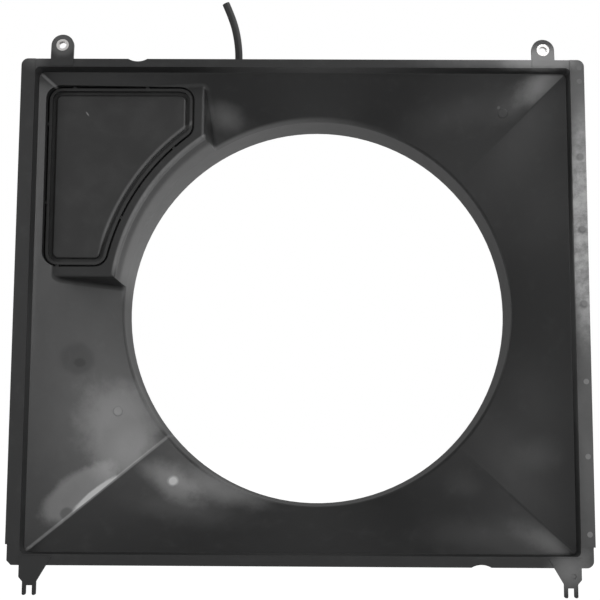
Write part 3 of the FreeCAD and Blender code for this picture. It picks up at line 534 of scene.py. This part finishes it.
# Painted highlight along the reservoir's rounded edge, where it follows the ring.
edge_highlight = shroud.region(EDGE_HIGHLIGHT) * uneven(cloud, least=0.12, added=0.2)
print("limits of dust and rubbed edge:", len(RING_SHEEN), len(EDGE_HIGHLIGHT))

# %% Shroud plastic
MOTTLE_PALES = 0.025
PALE_ROUGHENS = 0.2
DULL_ROUGHENS = 0.16

# The pale grey takes the bloom with its painted sheen, the painted highlights and reflections, and a
# little random mottle.
pale = (bloom_and_sheen + strip + creases + ring_sheen + edge_highlight
        + shroud.ramp(mottle, low=0.5, high=0.9) * MOTTLE_PALES).clamp()
grain = shroud.noise(scale=1400.0, detail=3.0, roughness=0.6)
wave = shroud.noise(scale=14.0, detail=2.0, roughness=0.4)
waviness = shroud.bump(wave, strength=0.18, distance=0.004)
roughness = uneven(mottle, least=0.36, added=0.10) + pale * PALE_ROUGHENS + dull * DULL_ROUGHENS
shroud.surface(Base_Color=shroud.mix(pale, grey(PLASTIC, warmth=-0.01), grey(WEAR_AND_SHEEN_GREY)),
               Roughness=roughness,
               Normal=shroud.bump(grain, strength=0.12, distance=0.0002, below=waviness))
print("shroud plastic: base", PLASTIC, "bloom_and_sheen", WEAR_AND_SHEEN_GREY)

# %% [markdown]
# ## The other plastics
# The cover, cap, fitting and tube are moulded apart from the shroud, so each is a slightly different
# black. One function makes all four, with a thin haze instead of the shroud's bloom. Of the four, only the
# cover is seen from the front, and it alone gets a scratch and a painted highlight along its pan's edge.
# The ejector marks on the strip have an even grey of their own, darker on the two at the top, which is
# painted highlight that makes them show on the strip's painted reflection.

# %% Cover, cap and fitting plastics
HAZE = 0.085
COVER_SCRATCH = {"centre": (-0.2735, -0.089, 0.2265), "radii": (0.0042, 0.004, 0.0011), "turn": 55,
                 "core": 0.3}
SCRATCH_PALES = 0.35
# The pan's edge, where it follows the fan ring, gets a painted highlight.
PAN_EDGE_HIGHLIGHT = [("radius", 0.2605, 0.2622), ("radius", 0.2662, 0.2642), ("up", 0.06, 0.09)]
PAN_EDGE_HIGHLIGHT_LEVEL = 0.12


def plain_plastic(name, base, roughness, haze_level, paler=None):
    """Black moulding with a fine grain and a thin haze.

    The last argument is a function that gives, for a graph, how far each place goes to the pale grey,
    for wear and for painted highlight.
    """
    graph = finish(name)
    mottle = graph.noise(scale=38.0, detail=4.0, roughness=0.6)
    haze = graph.ramp(mottle, low=0.35, high=0.9) * haze_level
    colour = graph.mix(haze, grey(base), grey(HAZE))
    if paler:
        colour = graph.mix(paler(graph), colour, grey(WEAR_AND_SHEEN_GREY))
    grain = graph.noise(scale=1600.0, detail=3.0, roughness=0.6)
    graph.surface(Base_Color=colour,
                  Roughness=uneven(mottle, least=roughness, added=0.12),
                  Normal=graph.bump(grain, strength=0.10, distance=0.0002))
    return graph.owner


def cover_scratch_and_sheen(graph):
    """A scratch on the cover's pan, and a painted highlight on the pan's edge where it follows the fan
    ring.
    """
    return graph.patch(**COVER_SCRATCH) * SCRATCH_PALES + graph.region(PAN_EDGE_HIGHLIGHT) * PAN_EDGE_HIGHLIGHT_LEVEL


cover_plastic = plain_plastic("cover plastic", base=0.023, roughness=0.38, haze_level=0.2, paler=cover_scratch_and_sheen)
cap_plastic = plain_plastic("cap plastic", base=0.014, roughness=0.33, haze_level=0.12)
fitting_plastic = plain_plastic("fitting plastic", base=0.016, roughness=0.36, haze_level=0.1)
tube_plastic = plain_plastic("tube plastic", base=0.03, roughness=0.35, haze_level=0.1)
print("plastics: cover, cap, fitting, tube")

# %% Ejector marks on the strip
# The marks' greys are painted highlight on the raised marks, far paler than the black plastic they are
# moulded in.
UPPER_MARKS = 0.10
LOWER_MARKS = 0.17
MARKS_CHANGE = (0.22, 0.18)          # heights where the upper grey ends and the lower one begins

mark_sheen_plastic = finish("mark sheen plastic")
lower = mark_sheen_plastic.ramp(mark_sheen_plastic.parts()[2], *MARKS_CHANGE)
mark_sheen_plastic.surface(Base_Color=mark_sheen_plastic.mix(lower, grey(UPPER_MARKS), grey(LOWER_MARKS)),
                     Roughness=uneven(mark_sheen_plastic.noise(scale=60.0), least=0.36, added=0.10))
print("strip marks: greys", UPPER_MARKS, "and", LOWER_MARKS)

# %% [markdown]
# ## Rubber and steel
# Extruded rubber is matt and faintly greyed by its own bloom. The limiters are turned steel with zinc
# plate, slightly dulled and finely streaked, and the clamp is dark spring steel. Each kind is one
# function, since its two finishes differ only in how dark and how rough they are.

# %% Rubber
RUBBER_BLOOM = 0.35                  # how far the bloom goes towards the paler grey
RUBBER_PALER = 2.4                   # that grey, as a multiple of the base


def rubber(name, base, roughness):
    """Matt rubber with a fine grain and a patchy grey bloom."""
    graph = finish(name)
    patchy = graph.ramp(graph.noise(scale=60.0, detail=5.0, roughness=0.6), low=0.45, high=0.8)
    grain = graph.noise(scale=900.0, detail=4.0, roughness=0.65)
    graph.surface(Base_Color=graph.mix(patchy * RUBBER_BLOOM, grey(base), grey(base * RUBBER_PALER)),
                  Roughness=uneven(patchy, least=roughness, added=0.1),
                  Normal=graph.bump(grain, strength=0.25, distance=0.0002))
    return graph.owner


hose_rubber = rubber("hose rubber", base=0.022, roughness=0.52)
seal_rubber = rubber("seal rubber", base=0.014, roughness=0.6)
print("rubber: hose, seal")

# %% Steel
TARNISH_DARKER = 0.45                # grey of the tarnish, as a share of the base
BRUSH_STRETCH = (1.0, 0.2, 1.0)      # draws the streaks out along Y, near the limiters' own axis


def steel(name, base, roughness, dull):
    """Metal with fine streaks; dull is how far the tarnish darkens it."""
    graph = finish(name)
    tarnish = graph.ramp(graph.noise(scale=420.0, detail=4.0, roughness=0.6), low=0.4, high=0.75)
    brush = graph.noise(scale=2600.0, detail=2.0, roughness=0.5, stretch=BRUSH_STRETCH)
    darker = grey(base * TARNISH_DARKER, warmth=0.06)
    graph.surface(Base_Color=graph.mix(tarnish * dull, grey(base, warmth=0.02), darker),
                  Roughness=uneven(tarnish, least=roughness, added=0.18),
                  Metallic=1.0,
                  Normal=graph.bump(brush, strength=0.15, distance=0.0001))
    return graph.owner


plated_steel = steel("plated steel", base=0.85, roughness=0.42, dull=0.25)
spring_steel = steel("spring steel", base=0.2, roughness=0.4, dull=0.5)
print("steel: plated, spring")

# %% [markdown]
# ## Finishes by slot
# The frame says which slot each CAD piece has, so a table from slot to material dresses all of them in
# one loop, and a piece that is added later needs no line of its own.

# %% Finishes by slot
FINISHES = {"shroud_plastic": shroud.owner, "cover_plastic": cover_plastic, "cap_plastic": cap_plastic,
            "fitting_plastic": fitting_plastic, "tube_plastic": tube_plastic, "seal_rubber": seal_rubber,
            "hose_rubber": hose_rubber, "spring_steel": spring_steel, "plated_steel": plated_steel}
slot_of = {entry["node"]: entry["material_slot"] for entry in frame["record"]["subparts"]}
for name, cad_node in nodes.items():
    cad_node.data.materials.clear()
    cad_node.data.materials.append(FINISHES[slot_of[name]])
hose.data.materials.append(hose_rubber)
lip_marks.data.materials.append(mark_sheen_plastic.owner)
panel_marks.data.materials.append(shroud.owner)
print(len(FINISHES), "finishes on", len(nodes), "nodes")

# %% [markdown]
# ## Studio
# The camera sees a white background, but the light on the object is softer: a dim room that brightens
# to the right, and round lamps about the object. The strongest stand to the right of the camera, so
# that the panels on the left catch their light, and weaker ones fill in from the left and above.

# %% Floor
FLOOR_SIZE = 12.0
FLOOR_GREY = 0.86
FLOOR_ROUGHNESS = 0.9
FLOOR_GLOW = 1.08
FLOOR_GLOW_SHARE = 0.97

floor_mesh = bpy.data.meshes.new("floor")
half = FLOOR_SIZE / 2
floor_mesh.from_pydata([(-half, -half, body_low.z), (half, -half, body_low.z),
                        (half, half, body_low.z), (-half, half, body_low.z)], [], [(0, 1, 2, 3)])
floor = bpy.data.objects.new("floor", floor_mesh)
bpy.context.scene.collection.objects.link(floor)

# The camera sees a glowing floor, and every other ray sees plain paper.
paper = finish("paper floor")
paper.surface(Base_Color=grey(FLOOR_GREY), Roughness=FLOOR_ROUGHNESS)
glow = paper.add("ShaderNodeEmission", {}, {"Color": grey(1.0), "Strength": FLOOR_GLOW})
seen = paper.add("ShaderNodeLightPath", {}, {}, "Is Camera Ray") * FLOOR_GLOW_SHARE
matt = Link(paper, paper.shader.outputs[0])
blend = paper.add("ShaderNodeMixShader", {}, {0: seen, 1: matt, 2: glow})
paper.plug(paper.tree.nodes["Material Output"].inputs["Surface"], blend)
floor_mesh.materials.append(paper.owner)
print("floor at", round(body_low.z, 4))

# %% Room
ROOM_LEVEL = 0.25
RIGHT_LEVEL = 0.95
BRIGHTENS = (0.0, 0.8)               # X of a direction, where the room starts and stops brightening

world = bpy.data.worlds.new("studio")
bpy.context.scene.world = world
room = Graph(world, "Background", "Generated")
rightwards = room.parts()[0]
fade = room.add("ShaderNodeMapRange", {"interpolation_type": "SMOOTHSTEP"},
                {"Value": rightwards, "From Min": BRIGHTENS[0], "From Max": BRIGHTENS[1],
                 "To Min": ROOM_LEVEL, "To Max": RIGHT_LEVEL})
seen = room.add("ShaderNodeLightPath", {}, {}, "Is Camera Ray")
level = room.add("ShaderNodeMix", {}, {"Factor": seen, "A": fade, "B": 1.0}, "Result")
room.surface(Color=grey(1.0), Strength=level)
print("room from", ROOM_LEVEL, "to", RIGHT_LEVEL)

# %% Lamps
LAMP_DISTANCE = 2.2
LAMP_WIDTH = 0.7
LAMPS = [(-135, 10, 1.2), (-75, 10, 2.2), (-40, 10, 3.4), (-40, 35, 0.9), (0, 35, 0.5),
         (30, 35, 5.6), (40, 10, 5.4), (60, 10, 1.7), (95, 40, 2.3)]


def lamp(turn, rise, radiance):
    """Round lamp that faces the object: turn is to the right of the front, rise is above level.

    A disc of area A and radiance L gives off a power of pi times A times L.
    """
    turn, rise = math.radians(turn), math.radians(rise)
    way = Vector((math.sin(turn) * math.cos(rise), -math.cos(turn) * math.cos(rise), math.sin(rise)))
    light = bpy.data.lights.new("lamp", "AREA")
    light.shape = "DISK"
    light.size = LAMP_WIDTH
    light.energy = radiance * math.pi * math.pi * LAMP_WIDTH ** 2 / 4
    holder = bpy.data.objects.new("lamp", light)
    holder.location = way * LAMP_DISTANCE
    holder.rotation_euler = (-way).to_track_quat("-Z", "Y").to_euler()
    holder.visible_camera = False
    bpy.context.scene.collection.objects.link(holder)


for turn, rise, radiance in LAMPS:
    lamp(turn, rise, radiance)
print("lamps:", len(LAMPS))

# %% [markdown]
# ## Finish
# The standard view keeps colours as they are written.

# %% Finish
bpy.context.scene.view_settings.view_transform = "Standard"
